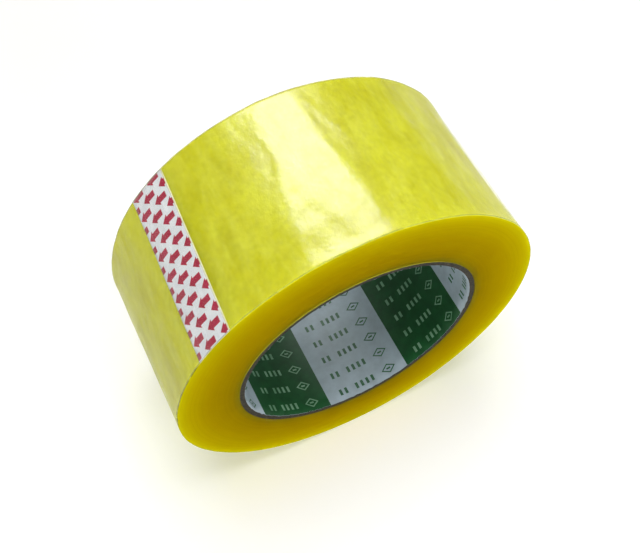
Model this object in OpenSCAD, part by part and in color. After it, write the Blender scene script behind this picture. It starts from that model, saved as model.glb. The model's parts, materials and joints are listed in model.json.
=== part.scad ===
// Roll of clear yellow packing tape on a paper core.
// The roll's axis lies along Y through the origin, at the middle of the bore, and the roll stands on its rim.
// Angles go round the axis from +X towards +Z, so 90 is the top of the roll.

/* [Core] */
// Diameter of the hole through the core
bore_d = 76.2; // [70:0.1:80]
// Thickness of the core's whole paper wall
core_wall = 1.8; // [1.2:0.1:4]
// Thickness of the printed paper that lines the hole
liner_t = 0.15; // [0.1:0.05:0.3]
// Number of plain paper plies behind the lining
ply_count = 5; // [3:1:6]
// How far each end of the core stands in from the tape's side
core_recess = 0.3; // [0.1:0.1:1]

/* [Tape] */
// Width of the tape
tape_w = 54; // [24:1:72]
// Diameter over the last turn of tape
roll_d = 119.2; // [100:0.1:140]
// Thickness of the film with its adhesive, twice the real one so that it can be made as a solid
film_t = 0.1; // [0.05:0.01:0.15]
// Space between the free tail and the turn below it
tail_gap = 0.1; // [0.08:0.01:0.15]

/* [Free tail] */
// Angle of the line where the free tail leaves the roll
peel_angle = 55.5; // [30:0.5:60]
// Angle that each short length of the tail covers
bend_step = 9; // [6:0.5:9]
// Angle of the tape's cut end, at the middle of its width
end_angle = 143.3; // [140:0.1:145]
// How far the cut end leads at the near side, over the tape's width
end_skew = 3.2; // [0:0.1:3.2]
// Clearance that the tail keeps inside each side of the roll
tail_inset = 0.05; // [0.05:0.05:0.5]

/* [Start tab] */
// Width of the printed strip along the tape
tab_w = 14.3; // [10:0.1:14.3]
// Thickness of the printed strip
tab_t = 0.06; // [0.04:0.01:0.07]

/* [Hidden] */
$fn = 180;
TAIL_COUNT = 8;
PLY_NAMES = [for (i = [1:ply_count]) str("core_ply_", i)];
TAIL_NAMES = [for (i = [1:TAIL_COUNT]) str("tail_film_", i)];

bore_r = bore_d / 2;
core_r = bore_r + core_wall;
core_w = tape_w - 2 * core_recess;
ply_t = (core_wall - liner_t) / ply_count;
tail_r = roll_d / 2;
tail_in_r = tail_r - film_t;
seat_r = tail_in_r - tail_gap;
tail_w = tape_w - 2 * tail_inset;

// Each turn of the wound tape ends one film thickness further out than it starts. A circle with its centre
// moved slightly off the axis is level with the tail at the peel line and one film lower at the cut end.
wind_toward = 10;
end_gap = 0.5;
seat_end = end_angle + end_gap;
lead = cos(peel_angle - wind_toward);
lag = cos(seat_end - wind_toward);
wind_shift = film_t / (lead - lag);
wind_r = tail_r - wind_shift * lead;

tab_hinge = peel_angle + TAIL_COUNT * bend_step;
tab_start = end_angle - 180 * tab_w / (PI * tail_r);
skew_turn = atan(end_skew / tape_w);
past_end = 6;

// A tube of the given radii, centred on the roll's axis
module ring(inner_r, outer_r, width) {
    rotate([90, 0, 0])
        difference() {
            cylinder(r = outer_r, h = width, center = true);
            cylinder(r = inner_r, h = width + 2, center = true);
        }
}

// The part of such a tube between two angles
module arc_band(inner_r, outer_r, from, to, width) {
    rotate([90, 0, 0])
        rotate([0, 0, from])
            rotate_extrude(angle = to - from)
                translate([inner_r, -width / 2])
                    square([outer_r - inner_r, width]);
}

// Everything past a cut across the tape at the given angle, slanted as the cut end is
module past_cut(angle) {
    rotate([0, -angle, 0])
        rotate([-skew_turn, 0, 0])
            translate([bore_r, -tape_w, 0])
                cube([bore_r, 2 * tape_w, tab_w * 2]);
}

module core_liner() {
    color([0.11, 0.30, 0.17])
        ring(bore_r, bore_r + liner_t, core_w);
}

// Plies are numbered outwards from the lining
module core_ply(number) {
    inner_r = bore_r + liner_t + (number - 1) * ply_t;
    color([0.42, 0.35, 0.24])
        ring(inner_r, inner_r + ply_t, core_w);
}

// All the turns of tape that stay wound, with a shallow seat where the tail lies
module wound_tape() {
    color([0.76, 0.71, 0.10])
        difference() {
            rotate([0, -wind_toward, 0])
                translate([wind_shift, 0, 0])
                    rotate([90, 0, 0])
                        cylinder(r = wind_r, h = tape_w, center = true);
            rotate([90, 0, 0])
                cylinder(r = core_r, h = tape_w + 2, center = true);
            difference() {
                arc_band(seat_r, tail_r + 1, peel_angle, seat_end + past_end, tape_w + 2);
                past_cut(seat_end);
            }
        }
}

// Lengths of the tail are numbered from the peel line towards the cut end
module tail_film(number) {
    from = peel_angle + (number - 1) * bend_step;
    color([0.87, 0.85, 0.33])
        arc_band(tail_in_r, tail_r, from, from + bend_step, tail_w);
}

// The last length of the tape, up to its cut end
module end_film() {
    color([0.87, 0.85, 0.33])
        difference() {
            arc_band(tail_in_r, tail_r, tab_hinge, end_angle + past_end, tail_w);
            past_cut(end_angle);
        }
}

// The printed strip under the cut end
module start_tab() {
    color([0.90, 0.90, 0.88])
        difference() {
            intersection() {
                arc_band(tail_in_r - tab_t, tail_in_r, tab_hinge, end_angle + past_end, tail_w);
                past_cut(tab_start);
            }
            past_cut(end_angle);
        }
}

core_liner();
for (i = [1:ply_count])
    core_ply(i);
wound_tape();
for (i = [1:TAIL_COUNT])
    tail_film(i);
end_film();
start_tab();
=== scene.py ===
"""Looks of a roll of clear yellow packing tape on a printed paper core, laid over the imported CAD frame."""

import json
import math

import bpy
import numpy as np
from mathutils import Matrix, Vector
from mathutils.geometry import delaunay_2d_cdt


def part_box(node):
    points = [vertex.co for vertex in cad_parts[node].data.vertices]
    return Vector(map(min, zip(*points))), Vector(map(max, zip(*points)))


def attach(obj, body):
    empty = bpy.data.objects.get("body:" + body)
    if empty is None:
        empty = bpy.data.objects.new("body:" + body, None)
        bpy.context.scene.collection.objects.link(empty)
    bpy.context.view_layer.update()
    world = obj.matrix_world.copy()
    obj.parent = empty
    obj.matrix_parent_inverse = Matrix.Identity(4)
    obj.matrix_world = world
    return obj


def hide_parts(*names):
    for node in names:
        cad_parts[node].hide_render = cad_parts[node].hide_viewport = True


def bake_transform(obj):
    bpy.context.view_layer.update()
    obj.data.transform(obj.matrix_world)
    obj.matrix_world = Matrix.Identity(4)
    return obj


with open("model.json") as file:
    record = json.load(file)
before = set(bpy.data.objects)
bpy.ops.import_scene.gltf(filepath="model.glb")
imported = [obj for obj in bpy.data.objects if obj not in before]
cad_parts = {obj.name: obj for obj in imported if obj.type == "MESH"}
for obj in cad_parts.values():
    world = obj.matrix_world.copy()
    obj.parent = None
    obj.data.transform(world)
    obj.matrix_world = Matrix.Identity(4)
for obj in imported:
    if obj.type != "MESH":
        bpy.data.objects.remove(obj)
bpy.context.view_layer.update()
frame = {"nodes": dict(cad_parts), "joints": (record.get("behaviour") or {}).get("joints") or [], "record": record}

MM = 0.001

# ---------------------------------------------------------------- sizes from the frame (mm, degrees)

hinges = {j["name"]: Vector(j["pos_m"]) / MM for j in frame["joints"]}
hinge_angle = {name: math.degrees(math.atan2(p.z, p.x)) for name, p in hinges.items()}
tail_count = 8         # lengths of tail before the one with the start tab
peel_angle = hinge_angle["peel"]
lift_angle = hinge_angle["tab_lift"]
bend_step = hinge_angle["tail_bend_2"] - peel_angle

tape_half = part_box("wound_tape")[1].y / MM
tail_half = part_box("end_film")[1].y / MM
core_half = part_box("core_liner")[1].y / MM
core_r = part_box("core_ply_5")[1].x / MM
bore_r = next(m for m in frame["record"]["mounts"] if m["name"] == "bore")["dims"]["r_mm"]
tail_r = (hinges["peel"].x ** 2 + hinges["peel"].z ** 2) ** 0.5

# Sizes that the frame doesn't hold: the CAD's own to within 0.1 mm, and some that only the looks have.
film_t = 0.1           # the free tail's film
seat_r = tail_r - 0.2  # the turn under the tail
wind_r = tail_r - 0.05  # the wound strip, a little off centre as a spiral is
wind_shift = 0.07
wind_side = 10.0       # the spiral's widest angle
end_angle = 143.3      # the cut end of the tape, at the middle of its width
end_skew = 3.2 / 54.0  # the cut's slant, degrees per mm of width; the near side leads
root_ramp = 6.0        # degrees over which the seat sinks under the tail
end_ramp = 4.0         # degrees over which it rises past the cut end
# Where the last turn stands off the roll: middle and half length in degrees, depth in mm.
slack_angle, slack_half, slack_deep = 25.0, 16.0, 0.75
turn_t, turn_gap = 0.02, 0.03  # the last turn's own film, and the space under it
film_cols = 70         # points across the width of a film
film_row = 0.75        # degrees between its rows
tab_w = 14.3           # the printed strip, along the tape
tab_margin = 0.45      # its unprinted edge, away from the cut end
tab_top, tab_t = tail_r - film_t - 0.004, 0.05  # radius of its upper face, just under the film, and thickness


def cut_angle(y):
    """Angle of the slanted cut end at a place across the width."""
    return end_angle - end_skew * y


# ---------------------------------------------------------------- the wound surface

def wave_set(seed, count, around, across):
    """A fixed set of waves: cycles round the roll, radians per mm across it, and phase."""
    pick = np.random.default_rng(seed)
    return list(zip(pick.integers(around[0], around[1], count),
                    pick.uniform(-across, across, count),
                    pick.uniform(0, 2 * math.pi, count)))


def waves(made, theta, y):
    """The sum of such waves, about 1 high whatever their number."""
    a = np.radians(theta)
    return sum(np.sin(m * a + k * y + p) for m, k, p in made) / math.sqrt(len(made))


FOLD, FOLD_SLANT = 101.0, 0.19  # a crease across the top: its angle, and degrees per mm of width
LOW, LOW_SLANT = 85.0, 0.11     # the other side of the flat beside it, likewise
SLOW = wave_set(3, 5, (3, 8), 0.03)
RIPPLE = wave_set(8, 16, (22, 62), 0.42)
FINE = wave_set(21, 14, (60, 120), 0.9)
BENT = wave_set(5, 6, (1, 2), 0.9)
# Flats where the strip ran slack: first angle, last angle, depth in mm.
FLATS = ((36.0, 60.0, 0.30), (60.0, 85.0, 0.32), (101.0, 125.0, 0.34),
         (150.0, 172.0, 0.25), (196.0, 232.0, 0.35), (250.0, 282.0, 0.30), (300.0, 330.0, 0.35))


def flat_profile(softness):
    """Depth of the flats every quarter degree round the roll, with their corners rounded off."""
    turn = np.arange(0, 360, 0.25)
    depth = sum(d * 4 * t * (1 - t) for a, b, d in FLATS for t in [np.clip((turn - a) / (b - a), 0, 1)])
    offset = (turn + 180) % 360 - 180
    soft = np.exp(-(offset / softness) ** 2 / 2)
    return turn, np.fft.ifft(np.fft.fft(depth) * np.fft.fft(soft / soft.sum())).real


FLAT_ANGLES, FLAT_DEPTHS = flat_profile(1.0)


def inward(theta, y):
    """How far the wound surface lies inside its round form, in mm: slack flats, then ripples."""
    theta = np.asarray(theta, float) % 360
    fold = FOLD - FOLD_SLANT * y + 0.7 * waves(BENT, 0.0, y)
    low = LOW + LOW_SLANT * y
    wedge = np.interp(theta, [60, LOW, FOLD, 125], [0, -LOW_SLANT, FOLD_SLANT, 0]) * y
    dip = 0.12 + 0.05 * waves(SLOW, theta, y)
    dip = dip + np.interp(theta + wedge, FLAT_ANGLES, FLAT_DEPTHS, period=360)
    t = np.clip((theta - low) / (fold - low), 0, 1)
    dip = dip + 0.25 * ((fold - low) / (FOLD - LOW)) ** 2 * 4 * t * (1 - t)
    dip = dip - 0.08 * np.exp(-np.abs(theta - fold) / 2.0)
    dip = dip + 0.050 * waves(RIPPLE, theta, y) + 0.014 * waves(FINE, theta, y)
    edge = np.clip((tape_half - np.abs(y)) / 3.0, 0, 1)
    return np.clip(dip, 0.0, None) * (0.55 + 0.45 * edge)


def slack(theta, y):
    """Hollow under the slack last turn, in mm."""
    t = np.clip(1 - np.abs((np.asarray(theta, float) + 180) % 360 - 180 - slack_angle) / slack_half, 0, 1)
    across = np.clip((tape_half - y) / (2 * tape_half), 0, 1)
    return slack_deep * t * t * (3 - 2 * t) * np.sin(np.pi * across) ** 0.7


def last_turn_radius(theta, y):
    """Radius of the last turn's outer surface, which runs into the free tail at the peel line."""
    off = np.radians(theta - wind_side)
    round_r = wind_shift * np.cos(off) + np.sqrt(wind_r ** 2 - (wind_shift * np.sin(off)) ** 2)
    return round_r - inward(theta, y)


def under_tail(theta, y):
    """How deep the seat for the free tail is, in mm; its ends are ramps."""
    ramps = np.minimum((theta - peel_angle) / root_ramp, (cut_angle(y) + end_ramp - theta) / end_ramp)
    return (last_turn_radius(theta, y) + inward(theta, y) - seat_r) * np.clip(ramps, 0, 1)


def wound_radius(theta, y):
    """Radius of the wound body, sunk a little under the last turn and more where the free tail lies on it."""
    theta, y = np.broadcast_arrays(np.asarray(theta, float), np.asarray(y, float))
    return last_turn_radius(theta, y) - np.maximum(under_tail(theta, y), turn_t + turn_gap) - slack(theta, y)


def film_radius(theta, y, below_top):
    """Radius of the free tail's film, which gets thinner towards the peel line."""
    taper = np.clip((theta - peel_angle) / (bend_step / 2), 0.05, 1)
    return tail_r - below_top * taper - inward(theta, y)


# ---------------------------------------------------------------- mesh helpers

def polar(r, theta, y):
    """Points in metres from radius (mm), angle (degrees) and place across the width (mm)."""
    r, theta, y = np.broadcast_arrays(np.asarray(r, float), np.radians(np.asarray(theta, float)),
                                      np.asarray(y, float))
    return np.stack([r * np.cos(theta), y, r * np.sin(theta)], -1) * MM


def add_mesh(name, points, faces, materials, slots=None, smooth=True):
    """A new object from points and faces; slots gives each face's material."""
    mesh = bpy.data.meshes.new(name)
    mesh.from_pydata([tuple(p) for p in np.asarray(points).reshape(-1, 3)], [],
                     [tuple(int(i) for i in f) for f in faces])
    for m in materials:
        mesh.materials.append(m)
    if slots is not None:
        mesh.polygons.foreach_set("material_index", np.asarray(slots, np.int32))
    mesh.polygons.foreach_set("use_smooth", [smooth] * len(mesh.polygons))
    mesh.validate()
    mesh.update()
    made = bpy.data.objects.new(name, mesh)
    bpy.context.scene.collection.objects.link(made)
    return made


def grid_faces(rows, cols, first=0, close_rows=False, close_cols=False, flip=False):
    """Quads over a grid of points numbered row by row."""
    faces = []
    for i in range(rows if close_rows else rows - 1):
        for j in range(cols if close_cols else cols - 1):
            a, b = first + i * cols + j, first + i * cols + (j + 1) % cols
            c, d = first + (i + 1) % rows * cols + (j + 1) % cols, first + (i + 1) % rows * cols + j
            faces.append((a, b, c, d) if not flip else (d, c, b, a))
    return faces


def shell(name, top, bottom, materials, far_cap=False, change_row=None):
    """A thin skin between two grids (rows round the roll, columns across it), closed along its sides.

    far_cap closes its last row too. From change_row on, both its faces have the second material.
    """
    rows, cols = top.shape[:2]
    points = np.concatenate([top.reshape(-1, 3), bottom.reshape(-1, 3)])
    n = rows * cols
    faces = grid_faces(rows, cols) + grid_faces(rows, cols, n, flip=True)
    for i in range(rows - 1):
        a, b = i * cols, (i + 1) * cols
        faces.append((a, b, n + b, n + a))
        faces.append((b + cols - 1, a + cols - 1, n + a + cols - 1, n + b + cols - 1))
    if far_cap:
        for j in range(cols - 1):
            e = (rows - 1) * cols + j
            faces.append((e, e + 1, n + e + 1, n + e))
    slots = None
    if change_row is not None:
        slots = [int(min(f) % n // cols >= change_row) for f in faces]
    return add_mesh(name, points, faces, materials, slots)


def flat_print(width, height, shapes, cell):
    """Cuts a flat sheet along printed shapes, and across every cell mm so that it can curve.

    Returns corner points, triangles, and the kind of shape that each lies in: the highest, or 0 for none.
    """
    points, edges, faces = [], [], []

    def outline(corners):
        first = len(points)
        points.extend(Vector(c) for c in corners)
        faces.append(list(range(first, first + len(corners))))

    outline([(0, 0), (width, 0), (width, height), (0, height)])
    for kind, corners in shapes:
        outline(corners)
    kinds = [0] + [kind for kind, corners in shapes]
    for x in np.linspace(0, width, max(2, round(width / cell) + 1))[1:-1]:
        edges.append((len(points), len(points) + 1))
        points.extend([Vector((x, 0)), Vector((x, height))])
    for v in np.linspace(0, height, max(2, round(height / (cell * 3)) + 1))[1:-1]:
        edges.append((len(points), len(points) + 1))
        points.extend([Vector((0, v)), Vector((width, v))])
    out, _, tris, _, _, owners = delaunay_2d_cdt(points, edges, faces, 1, 1e-5)
    keep = [(t, max(kinds[k] for k in o)) for t, o in zip(tris, owners) if 0 in o]
    used = sorted({i for t, k in keep for i in t})
    number = {old: new for new, old in enumerate(used)}
    corners = np.array([tuple(out[i]) for i in used])
    return corners, [tuple(number[i] for i in t) for t, k in keep], [k for t, k in keep]


# ---------------------------------------------------------------- outlines of printed shapes

def lozenge(u, v, half_u, half_v):
    return [(u - half_u, v), (u, v - half_v), (u + half_u, v), (u, v + half_v)]


def bar(u, v, half_u, half_v):
    return [(u - half_u, v - half_v), (u + half_u, v - half_v),
            (u + half_u, v + half_v), (u - half_u, v + half_v)]


def arrow(tip_u, v):
    head, half_head, shaft_end, half_shaft = 2.1, 1.75, 4.9, 0.98
    return [(tip_u, v), (tip_u + head, v - half_head), (tip_u + head, v - half_shaft),
            (tip_u + shaft_end, v - half_shaft), (tip_u + shaft_end, v + half_shaft),
            (tip_u + head, v + half_shaft), (tip_u + head, v + half_head)]


# ---------------------------------------------------------------- material helpers

def new_material(name):
    made = bpy.data.materials.new(name)
    made.use_nodes = True
    return made, made.node_tree, made.node_tree.nodes["Principled BSDF"]


def add(tree, kind, settings=None, **inputs):
    """A node with plain settings, and inputs given as numbers or linked sockets."""
    node = tree.nodes.new(kind)
    for key, value in (settings or {}).items():
        setattr(node, key, value)
    for key, value in inputs.items():
        socket = node.inputs[int(key[1:])] if key[0] == "i" and key[1:].isdigit() else node.inputs[key]
        if isinstance(value, bpy.types.NodeSocket):
            tree.links.new(value, socket)
        else:
            socket.default_value = value
    return node


def calc(tree, what, a, b=0.0):
    return add(tree, "ShaderNodeMath", {"operation": what}, i0=a, i1=b).outputs[0]


def noise(tree, where, scale, detail=2.0, roughness=0.5, stretch=None):
    if stretch is not None:
        where = add(tree, "ShaderNodeMapping", Vector=where, Scale=stretch).outputs[0]
    return add(tree, "ShaderNodeTexNoise", Vector=where, Scale=scale, Detail=detail,
               Roughness=roughness).outputs[0]


def ramp(tree, fac, stops):
    """A colour ramp; a stop's value is a colour, or one number for a grey."""
    stops = [(place_at, (value,) * 3 if isinstance(value, float) else value) for place_at, value in stops]
    node = add(tree, "ShaderNodeValToRGB", i0=fac)
    elements = node.color_ramp.elements
    while len(elements) > 1:
        elements.remove(elements[-1])
    elements[0].position, elements[0].color = stops[0][0], (*stops[0][1], 1)
    for place_at, colour in stops[1:]:
        elements.new(place_at).color = (*colour, 1)
    return node.outputs[0]


def mix(tree, fac, a, b, kind="MIX"):
    node = tree.nodes.new("ShaderNodeMix")
    node.data_type, node.blend_type = "RGBA", kind
    for socket, value in ((node.inputs[0], fac), (node.inputs[6], a), (node.inputs[7], b)):
        if isinstance(value, bpy.types.NodeSocket):
            tree.links.new(value, socket)
        else:
            socket.default_value = (*value, 1) if isinstance(value, tuple) else value
    return node.outputs[2]


def bump(tree, height, strength, distance, normal=None):
    node = add(tree, "ShaderNodeBump", Strength=strength, Distance=distance, Height=height)
    if normal is not None:
        tree.links.new(normal, node.inputs["Normal"])
    return node.outputs[0]


def srgb(r, g, b):
    """Linear colour from 0-255 display values."""
    return tuple((v / 255 / 12.92) if v <= 10 else ((v / 255 + 0.055) / 1.055) ** 2.4 for v in (r, g, b))


def place(tree):
    return add(tree, "ShaderNodeTexCoord").outputs["Object"]


def cylinder_coords(tree):
    """Radius in mm, place across the width in mm, and x and z in metres."""
    xyz = add(tree, "ShaderNodeSeparateXYZ", Vector=place(tree))
    x, y, z = xyz.outputs
    r2 = calc(tree, "ADD", calc(tree, "MULTIPLY", x, x), calc(tree, "MULTIPLY", z, z))
    return calc(tree, "DIVIDE", calc(tree, "SQRT", r2), MM), calc(tree, "DIVIDE", y, MM), x, z


def painted_edge_shadow(tree, from_edge, x, z):
    """Share of a thin broken dark line at the roll's edge, past the cut end: a painted shadow; from_edge in mm."""
    middle = math.radians(163.0)
    along = calc(tree, "ADD", calc(tree, "MULTIPLY", x, math.cos(middle) / (tail_r * MM)),
                 calc(tree, "MULTIPLY", z, math.sin(middle) / (tail_r * MM)))
    arc = ramp(tree, along, [(0.940, 0.0), (0.960, 1.0)])
    thin = ramp(tree, from_edge, [(0.32, 1.0), (0.52, 0.0)])
    broken = ramp(tree, noise(tree, place(tree), 400.0, 4.0, 0.75), [(0.43, 0.0), (0.52, 1.0)])
    return calc(tree, "MULTIPLY", calc(tree, "MULTIPLY", arc, thin), broken)


# ---------------------------------------------------------------- materials

# Colour of the painted shadow line along the roll's edge past the cut end.
EDGE_SHADOW_COLOUR = srgb(58, 52, 12)


def make_rim_material():
    """Outer surface: deep yellow-green film under a glossy, slightly rippled skin."""
    made, tree, skin = new_material("tape_rim")
    at = place(tree)
    patch = noise(tree, at, 38.0, 3.0, 0.55)
    colour = ramp(tree, patch, [(0.32, srgb(204, 199, 8)), (0.50, srgb(218, 217, 16)),
                                (0.68, srgb(232, 234, 30))])
    streaks = noise(tree, at, 210.0, 4.0, 0.65, (1.0, 0.28, 1.0))
    streak = ramp(tree, streaks, [(0.38, 0.0), (0.64, 0.75)])
    colour = mix(tree, streak, colour, srgb(238, 240, 78))
    grain = ramp(tree, noise(tree, at, 620.0, 4.0, 0.7), [(0.36, 0.86), (0.60, 1.0)])
    colour = mix(tree, 1.0, colour, grain, "MULTIPLY")
    _, across, x, z = cylinder_coords(tree)
    # Painted shadow: a thin broken dark line along the rim's edge past the cut end.
    colour = mix(tree, painted_edge_shadow(tree, calc(tree, "ADD", across, tape_half), x, z), colour, EDGE_SHADOW_COLOUR)
    tree.links.new(colour, skin.inputs["Base Color"])
    gloss = ramp(tree, noise(tree, at, 150.0, 3.0, 0.6), [(0.3, 0.30), (0.7, 0.44)])
    tree.links.new(gloss, skin.inputs["Roughness"])
    soft = bump(tree, noise(tree, at, 190.0, 5.0, 0.62), 0.8, 0.00030)
    crease = bump(tree, noise(tree, at, 560.0, 4.0, 0.6, (1.0, 0.5, 1.0)), 0.7, 0.00012, soft)
    tree.links.new(crease, skin.inputs["Normal"])
    skin.inputs["IOR"].default_value = 1.5
    skin.inputs["Subsurface Weight"].default_value = 0.6
    skin.inputs["Subsurface Radius"].default_value = (0.010, 0.009, 0.0006)
    skin.inputs["Subsurface Scale"].default_value = 1.0
    skin.inputs["Specular IOR Level"].default_value = 0.12
    skin.inputs["Coat Weight"].default_value = 0.22
    skin.inputs["Coat Roughness"].default_value = 0.15
    skin.inputs["Coat IOR"].default_value = 1.4
    tree.links.new(crease, skin.inputs["Coat Normal"])
    return made


def make_side_material():
    """Cut side of the roll: hundreds of turns edge on, darker amber towards the core, and brighter at the outer
    turns where the ramp paints the glow of light that comes in through the rim.
    """
    made, tree, skin = new_material("tape_side")
    radius, _, x, z = cylinder_coords(tree)
    t = calc(tree, "DIVIDE", calc(tree, "SUBTRACT", radius, core_r), tail_r - core_r)
    # Darker towards the core; the bright outer stops are a painted glow of light passing through the outer turns.
    base = ramp(tree, t, [(0.0, srgb(112, 98, 26)), (0.04, srgb(122, 104, 18)), (0.11, srgb(136, 109, 6)),
                          (0.21, srgb(148, 118, 2)), (0.51, srgb(168, 138, 1)), (0.82, srgb(190, 168, 2)),
                          (0.93, srgb(202, 187, 5)), (1.0, srgb(216, 208, 18))])
    wander = noise(tree, place(tree), 30.0, 2.0)
    ring_at = calc(tree, "ADD", radius, calc(tree, "MULTIPLY", wander, 0.6))
    line = add(tree, "ShaderNodeCombineXYZ", X=ring_at).outputs[0]
    rings = noise(tree, line, 1.3, 5.0, 0.72)
    shade = ramp(tree, rings, [(0.3, 0.62), (0.7, 1.0)])
    colour = mix(tree, 0.45, base, shade, "MULTIPLY")
    cloud = noise(tree, place(tree), 55.0, 3.0, 0.6)
    colour = mix(tree, calc(tree, "MULTIPLY", cloud, 0.35), colour, srgb(190, 166, 2))
    # Painted shadow: a thin broken dark line along the side's outer edge past the cut end.
    colour = mix(tree, painted_edge_shadow(tree, calc(tree, "SUBTRACT", tail_r, radius), x, z), colour, EDGE_SHADOW_COLOUR)
    tree.links.new(colour, skin.inputs["Base Color"])
    tree.links.new(ramp(tree, rings, [(0.2, 0.50), (0.8, 0.34)]), skin.inputs["Roughness"])
    fine = noise(tree, line, 5.0, 3.0, 0.6)
    tree.links.new(bump(tree, fine, 0.4, 0.00010), skin.inputs["Normal"])
    skin.inputs["IOR"].default_value = 1.5
    skin.inputs["Subsurface Weight"].default_value = 0.7
    skin.inputs["Subsurface Radius"].default_value = (0.012, 0.010, 0.0004)
    skin.inputs["Subsurface Scale"].default_value = 1.0
    skin.inputs["Specular IOR Level"].default_value = 0.0
    return made


def make_film_material(name, colour, alpha, grazing):
    """A single layer of clear film, whose cut edges show a little more.

    alpha is its opacity seen square on, and grazing what is added edge on.
    """
    made, tree, skin = new_material(name)
    at = place(tree)
    pale, deep = (tuple(min(1, c * k) for c in colour) for k in (1.15, 0.78))
    tint = ramp(tree, noise(tree, at, 230.0, 4.0, 0.66, (1.0, 0.3, 1.0)), [(0.34, deep), (0.66, pale)])
    tree.links.new(tint, skin.inputs["Base Color"])
    edge = add(tree, "ShaderNodeLayerWeight", Blend=0.35).outputs["Facing"]
    opaque = calc(tree, "ADD", alpha, calc(tree, "MULTIPLY", calc(tree, "POWER", edge, 3.0), grazing))
    across = calc(tree, "ABSOLUTE", cylinder_coords(tree)[1])
    cut_edge = ramp(tree, calc(tree, "SUBTRACT", tail_half, across), [(0.20, 0.32), (0.50, 0.0)])
    opaque = calc(tree, "ADD", opaque, cut_edge)
    tree.links.new(opaque, skin.inputs["Alpha"])
    gloss = ramp(tree, noise(tree, at, 150.0, 3.0, 0.6), [(0.3, 0.16), (0.7, 0.32)])
    tree.links.new(gloss, skin.inputs["Roughness"])
    soft = bump(tree, noise(tree, at, 210.0, 3.0, 0.55), 0.5, 0.00022)
    crease = bump(tree, noise(tree, at, 520.0, 4.0, 0.65), 0.6, 0.00016, soft)
    tree.links.new(crease, skin.inputs["Normal"])
    skin.inputs["IOR"].default_value = 1.5
    return made


def make_print_material(name, colour, worn, roughness, paper=0.0):
    """Printed film or coated paper with faint mottling; paper is the strength of its fibres."""
    made, tree, skin = new_material(name)
    at = place(tree)
    mottle = noise(tree, at, 260.0, 4.0, 0.6)
    tree.links.new(ramp(tree, mottle, [(0.3, worn), (0.62, colour)]), skin.inputs["Base Color"])
    skin.inputs["Roughness"].default_value = roughness
    skin.inputs["Specular IOR Level"].default_value = 0.2 if paper else 0.4
    if paper:
        fibre = noise(tree, at, 1400.0, 3.0, 0.6, (1.0, 0.5, 1.0))
        tree.links.new(bump(tree, fibre, paper, 0.00004), skin.inputs["Normal"])
    return made


def make_board_material():
    """Dark grey-brown core board with coarse fibres."""
    made, tree, skin = new_material("core_board_kraft")
    at = place(tree)
    fibre = noise(tree, at, 900.0, 4.0, 0.65)
    colour = ramp(tree, fibre, [(0.28, srgb(26, 24, 20)), (0.5, srgb(48, 44, 35)), (0.72, srgb(80, 72, 56))])
    tree.links.new(colour, skin.inputs["Base Color"])
    skin.inputs["Roughness"].default_value = 0.92
    tree.links.new(bump(tree, fibre, 0.8, 0.00018), skin.inputs["Normal"])
    return made


rim_look = make_rim_material()
side_look = make_side_material()
film_look = make_film_material("tape_film_yellow", srgb(238, 240, 106), 0.09, 0.05)
clear_look = make_film_material("tape_film_clear", srgb(238, 238, 214), 0.03, 0.12)
tab_white = make_print_material("tab_white", srgb(246, 249, 255), srgb(234, 238, 246), 0.35)
tab_red = make_print_material("tab_crimson", srgb(188, 0, 68), srgb(170, 0, 56), 0.35)
tab_edge = make_print_material("tab_unprinted_edge", srgb(226, 226, 190), srgb(216, 216, 170), 0.45)
tab_back = make_print_material("tab_underside", srgb(214, 208, 204), srgb(198, 194, 188), 0.5)
liner_green = make_print_material("liner_green", srgb(30, 92, 48), srgb(24, 78, 40), 0.55, 0.3)
# The lining's white is a grey blue, darkened in part as painted shade for the inside of the bore.
liner_white_shaded = make_print_material("liner_white_shaded", srgb(184, 200, 211), srgb(170, 185, 196), 0.60, 0.3)
mark_green = make_print_material("liner_marks_dark", srgb(48, 98, 66), srgb(70, 116, 84), 0.60, 0.3)
mark_pale = make_print_material("liner_marks_pale", srgb(142, 184, 152), srgb(104, 154, 116), 0.55, 0.3)
board_look = make_board_material()

# ---------------------------------------------------------------- wound tape

def side_step(r, theta):
    """How far a turn's edge lies inside the side face, in mm: the turns don't quite line up."""
    turn = r - core_r
    step = 0.03 * (1 + np.sin(turn * 1.9 + 0.8)) + 0.02 * (1 + np.sin(turn * 6.1 + 2.0))
    step = step + 0.012 * (1 + np.sin(turn * 4.0 + np.radians(theta) * 2))
    dish = 0.10 * np.exp(-((turn - 1.2) / 1.4) ** 2)
    return np.clip(step + dish, 0, 0.35)


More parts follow.
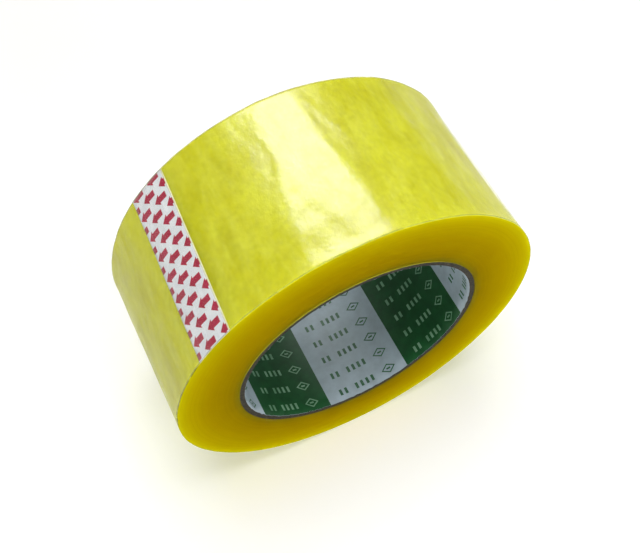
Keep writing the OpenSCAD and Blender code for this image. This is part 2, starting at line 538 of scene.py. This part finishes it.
def build_wound_tape():
    """The wound body: rows round the roll, each a closed profile of near side, rim, far side and bore."""
    rim_cols = 68
    lines = np.arange(0, 360, film_row)
    lean = np.clip(1 - np.abs(lines - end_angle) / 16.0, 0, 1)  # rows lean with the cut end near it
    near = np.linspace(core_r, tail_r - 0.9, 52)
    lean_from, lean_over = 57.0, 2.4  # radius where a side's rows start to lean, and mm until they do fully
    y_rim = np.concatenate([[-tape_half + 0.03, -tape_half + 0.12],
                            np.linspace(-tape_half + 0.35, tape_half - 0.35, rim_cols),
                            [tape_half - 0.12, tape_half - 0.03]])
    rounding = np.array([0.09, 0.02] + [0] * rim_cols + [0.02, 0.09])
    cols_side, cols_rim = len(near) + 2, len(y_rim)
    rows = []
    for theta, bent in zip(lines, lean):
        at_near, at_far = (theta - bent * end_skew * y for y in (-tape_half, tape_half))
        r_near, r_far = float(wound_radius(at_near, -tape_half)), float(wound_radius(at_far, tape_half))
        rim_theta = theta - bent * end_skew * y_rim
        rim_r = wound_radius(rim_theta, y_rim) - rounding
        profile = []
        for r_edge, sign in ((r_near, -1), (r_far, 1)):
            radii = np.concatenate([near, [r_edge - 0.45, r_edge - 0.13]])
            y = sign * (tape_half - side_step(radii, theta))
            y[-1] = sign * (tape_half - 0.005)
            share = np.clip((radii - lean_from) / lean_over, 0, 1)
            profile.append(polar(radii, theta - bent * end_skew * sign * tape_half * share, y))
        rows.append(np.concatenate([profile[0], polar(rim_r, rim_theta, y_rim), profile[1][::-1]]))
    points = np.array(rows)
    n_rows, n_cols = points.shape[:2]
    faces = grid_faces(n_rows, n_cols, close_rows=True, close_cols=True)
    column = np.tile(np.arange(n_cols), n_rows)
    slots = np.where((column >= cols_side) & (column < cols_side + cols_rim - 1), 0, 1)
    return add_mesh("wound_roll", points, faces, [rim_look, side_look], slots)


wound = build_wound_tape()
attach(wound, "roll")
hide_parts("wound_tape")

# ---------------------------------------------------------------- last turn

def build_last_turn():
    """The clear last turn, from the cut end round to the peel line.

    It stands off the roll over a short arc.
    """
    y = np.linspace(-tail_half, tail_half, film_cols)[None, :]
    start = cut_angle(y) + 0.1
    row_count = 370
    theta = start + (peel_angle + 360 - start) * np.linspace(0, 1, row_count)[:, None]
    outer = last_turn_radius(theta, y) - np.maximum(under_tail(theta, y) - turn_t - turn_gap, 0)
    piece = shell("last_turn", polar(outer, theta, y), polar(outer - turn_t, theta, y), [film_look])
    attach(piece, "roll")


build_last_turn()

# ---------------------------------------------------------------- free tail

def tail_grid(start, stop, below_top):
    """Points of the tail's surface between two angles, either of which may change across the width."""
    y = np.linspace(-tail_half, tail_half, film_cols)
    start, stop = np.broadcast_to(start, y.shape), np.broadcast_to(stop, y.shape)
    rows = max(3, int(round((stop - start).max() / film_row)) + 1)
    theta = start + (stop - start) * np.linspace(0, 1, rows)[:, None]
    return polar(film_radius(theta, y[None, :], below_top), theta, y[None, :])


def hinge_point(angle):
    return Vector(polar(tail_r, angle, 0.0))


def build_tail():
    """One length of film over each hinge, each from the middle of one CAD length to the next."""
    middles = [peel_angle + bend_step * (i + 0.5) for i in range(tail_count)]
    edges = [peel_angle] + middles + [end_angle]
    for i in range(tail_count + 1):
        start, stop = edges[i], edges[i + 1]
        last = i == tail_count
        if last:
            cut = cut_angle(np.linspace(-tail_half, tail_half, film_cols))
            tab_from = cut - math.degrees(tab_w / tail_r)
            before = [tail_grid(start, tab_from, d) for d in (0.0, film_t)]
            over = [tail_grid(tab_from, cut, d) for d in (0.0, film_t)]
            top, bottom = (np.concatenate([b, o[1:]]) for b, o in zip(before, over))
            piece = shell("tape_end_skin", top, bottom, [film_look, clear_look], True, len(before[0]) - 1)
        else:
            top, bottom = (tail_grid(start, stop, d) for d in (0.0, film_t))
            piece = shell(f"tail_skin_{i}", top, bottom, [film_look])
        if i == 0:
            zone = (peel_angle, middles[0])
        elif last:
            zone = (lift_angle, lift_angle + bend_step / 2)
        else:
            zone = (start, stop)
        hinge_point(zone[0])
        hinge_point(zone[1])
        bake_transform(piece)
        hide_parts(*([f"tail_film_{i + 1}"] if not last else ["end_film"]))


build_tail()

# ---------------------------------------------------------------- start tab with arrows

def build_tab():
    """White strip with two staggered sets of arrows that point at the cut end."""
    height = 2 * tail_half
    pitch = 6.9
    shapes = []
    for k in range(9):
        for first, tips in ((5.0, (0.3, 7.6)), (1.55, (-3.35, 3.95, 11.25))):
            for tip in tips:
                shapes.append((1, arrow(tip, first + pitch * k)))
    shapes = [s for s in shapes if any(0 < v < height for u, v in s[1])]
    shapes.append((3, bar(tab_w - tab_margin / 2, height / 2, tab_margin / 2, height / 2)))
    flat, tris, kinds = flat_print(tab_w, height, shapes, cell=1.1)
    u, y = flat[:, 0], flat[:, 1] - tail_half
    theta = cut_angle(y) - np.degrees(u / tail_r)
    lift = inward(theta, y)
    top = polar(tab_top - lift, theta, y)
    bottom = polar(tab_top - tab_t - lift, theta, y)
    n = len(flat)
    faces = [tuple(t) for t in tris] + [tuple(n + i for i in reversed(t)) for t in tris]
    slots = list(kinds) + [2] * len(tris)  # the kinds of shape are places in the list of materials
    seen = {(a, b): True for t in tris for a, b in zip(t, t[1:] + t[:1])}
    for a, b in seen:  # an edge that only one triangle has lies on the outline
        if (b, a) not in seen:
            faces.append((b, a, n + a, n + b))
            slots.append(0)
    piece = add_mesh("start_tab_print", np.concatenate([top, bottom]), faces,
                     [tab_white, tab_red, tab_back, tab_edge], slots)
    hinge_point(lift_angle)
    hinge_point(lift_angle + bend_step / 2)
    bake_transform(piece)
    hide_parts("start_tab")


build_tab()

# ---------------------------------------------------------------- core

def build_liner():
    """Lining printed in bands, with rows of plain generic marks; flat first, then rolled up."""
    round_r = bore_r + 0.01
    around = 2 * math.pi * round_r
    bands = 8
    band = around / bands
    first_edge = 30.8  # lower edge of the first band, degrees
    height = 2 * core_half
    rows, row_first, row_pitch = 8, 3.1, 6.67
    mark_in = 6.2  # from a band's upper edge to the middle of its lozenges
    bars_in = 11.6  # and to the start of its bars
    # Kinds: 1 and 2 are the green and the white band, 3 and 4 dark and pale ink, 5 and 6 the band's own
    # colour inside a lozenge, 7 and 8 dark and pale ink inside that.
    shapes = []
    for b in range(bands):
        low, high = b * band, (b + 1) * band
        shapes.append((2 if b % 2 == 1 else 1, [(low, 0), (high, 0), (high, height), (low, height)]))
    for b in range(bands):
        white = b % 2 == 1
        ink = 3 if white else 4
        high = (b + 1) * band
        for k in range(rows):
            v = row_first + row_pitch * k
            shapes.append((ink, lozenge(high - mark_in, v, 2.7, 1.75)))
            shapes.append((5 if white else 6, lozenge(high - mark_in, v, 2.0, 1.25)))
            shapes.append((ink + 4, bar(high - mark_in, v, 0.75, 0.28)))
            for along in (0.5, 2.5, 4.5, 6.5, 10.6, 12.6):
                shapes.append((ink, bar(high - bars_in - along - 0.4, v, 0.48, 1.1)))
    flat, tris, kinds = flat_print(around, height, shapes, cell=1.4)
    look = {1: 0, 2: 1, 3: 2, 4: 3, 5: 1, 6: 0, 7: 2, 8: 3}  # kind: place in the list of materials
    theta = first_edge + np.degrees(flat[:, 0] / round_r)
    y = flat[:, 1] - core_half
    fray = 0.10 * waves(FINE, theta, 0.0) + 0.05 * waves(RIPPLE, theta, 0.0)
    y = np.where(np.abs(y) > core_half - 0.01, y - np.sign(y) * (0.12 + np.clip(fray, -0.12, 0.3)), y)
    inner = polar(round_r, theta, y)
    paper_t = 0.13
    outer = polar(round_r + paper_t, theta, y)
    n = len(flat)
    faces = [tuple(reversed(t)) for t in tris]
    slots = [look[k] for k in kinds]
    rim = [i for i in range(n) if flat[i, 1] < 1e-4], [i for i in range(n) if flat[i, 1] > height - 1e-4]
    for ids, flip in zip(rim, (False, True)):
        ids = sorted(ids, key=lambda i: flat[i, 0])
        for a, b in zip(ids, ids[1:]):
            quad = (a, b, n + b, n + a)
            faces.append(quad if not flip else quad[::-1])
            slots.append(1)
    piece = add_mesh("printed_lining", np.concatenate([inner, outer]), faces,
                     [liner_green, liner_white_shaded, mark_green, mark_pale], slots)
    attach(piece, "roll")
    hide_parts("core_liner")


build_liner()

# The plies keep their CAD meshes and take the board's look.
for i in range(1, 6):
    ply = frame["nodes"][f"core_ply_{i}"]
    for s in ply.material_slots:
        s.link = "OBJECT"
        s.material = board_look
    if not ply.material_slots:
        ply.data.materials.append(board_look)

# ---------------------------------------------------------------- stage, light, camera

def build_stage():
    """Plain floor that glows a little, and more with distance, so that it reads as white."""
    half, level = 4, -tail_r * MM - 0.0002
    corners = ((-half, -half), (half, -half), (half, half), (-half, half))
    floor = add_mesh("floor", [(x, y, level) for x, y in corners], [(0, 1, 2, 3)], [], smooth=False)
    made, tree, skin = new_material("floor_white")
    tree.links.new(ramp(tree, noise(tree, place(tree), 6.0), [(0.3, 0.94), (0.7, 0.96)]),
                   skin.inputs["Base Color"])
    skin.inputs["Roughness"].default_value = 0.8
    skin.inputs["Specular IOR Level"].default_value = 0.2
    skin.inputs["Emission Color"].default_value = (1.0, 1.0, 1.0, 1)
    away = add(tree, "ShaderNodeVectorMath", {"operation": "LENGTH"}, i0=place(tree)).outputs["Value"]
    glow = ramp(tree, away, [(0.45, 0.235), (1.0, 0.85)])
    tree.links.new(glow, skin.inputs["Emission Strength"])
    floor.data.materials.append(made)


def area_light(name, place_at, target, size_x, size_y, watts, colour=(1, 1, 1)):
    data = bpy.data.lights.new(name, "AREA")
    data.shape, data.size, data.size_y = "RECTANGLE", size_x, size_y
    data.energy, data.color = watts, colour
    light = bpy.data.objects.new(name, data)
    light.location = place_at
    light.rotation_euler = (Vector(target) - Vector(place_at)).to_track_quat("-Z", "Y").to_euler()
    bpy.context.scene.collection.objects.link(light)
    return light


build_stage()
gloss_box = area_light("softbox_reflection", (0.075, 0.34, 0.50), (0, 0, 0), 0.37, 0.24, 9.0)
gloss_box.visible_diffuse = False
area_light("dome", (0.0, 0.0, 1.3), (0, 0, 0), 2.6, 2.6, 7.5, (1.0, 0.975, 0.82)).visible_glossy = False
area_light("overhead", (0.02, 0.12, 1.3), (0, 0, 0), 0.85, 0.85, 12.8).visible_glossy = False
area_light("front", (0.16, -0.72, 0.36), (0, 0, 0), 0.5, 0.15, 2.05)
through = area_light("light_through_tape", (-0.012, -0.030, -0.046), (-0.012, -0.037, -0.060),
                     0.080, 0.012, 0.0010, (1.0, 0.80, 0.05))  # stands for light that passes through the tape
through.visible_camera = False

world = bpy.data.worlds.new("studio")
world.use_nodes = True
world.node_tree.nodes["Background"].inputs["Color"].default_value = (1, 1, 1, 1)
world.node_tree.nodes["Background"].inputs["Strength"].default_value = 0.85
world.cycles_visibility.diffuse = False
world.cycles_visibility.glossy = False
bpy.context.scene.world = world

camera = bpy.data.objects.new("camera", bpy.data.cameras.new("camera"))
camera.data.lens, camera.data.sensor_width = 51.82, 36.0
right = Vector((0.89662, -0.44281, 0.0))
up = Vector((0.38207, 0.77363, 0.50549))
forward = Vector((0.22383, 0.45323, -0.86283))
camera.matrix_world = Matrix.Translation((-0.06562, -0.13192, 0.25238)) @ Matrix(
    (right.normalized(), up.normalized(), -forward.normalized())).transposed().to_4x4()
bpy.context.scene.collection.objects.link(camera)
bpy.context.scene.camera = camera
bpy.context.scene.view_settings.view_transform = "Standard"
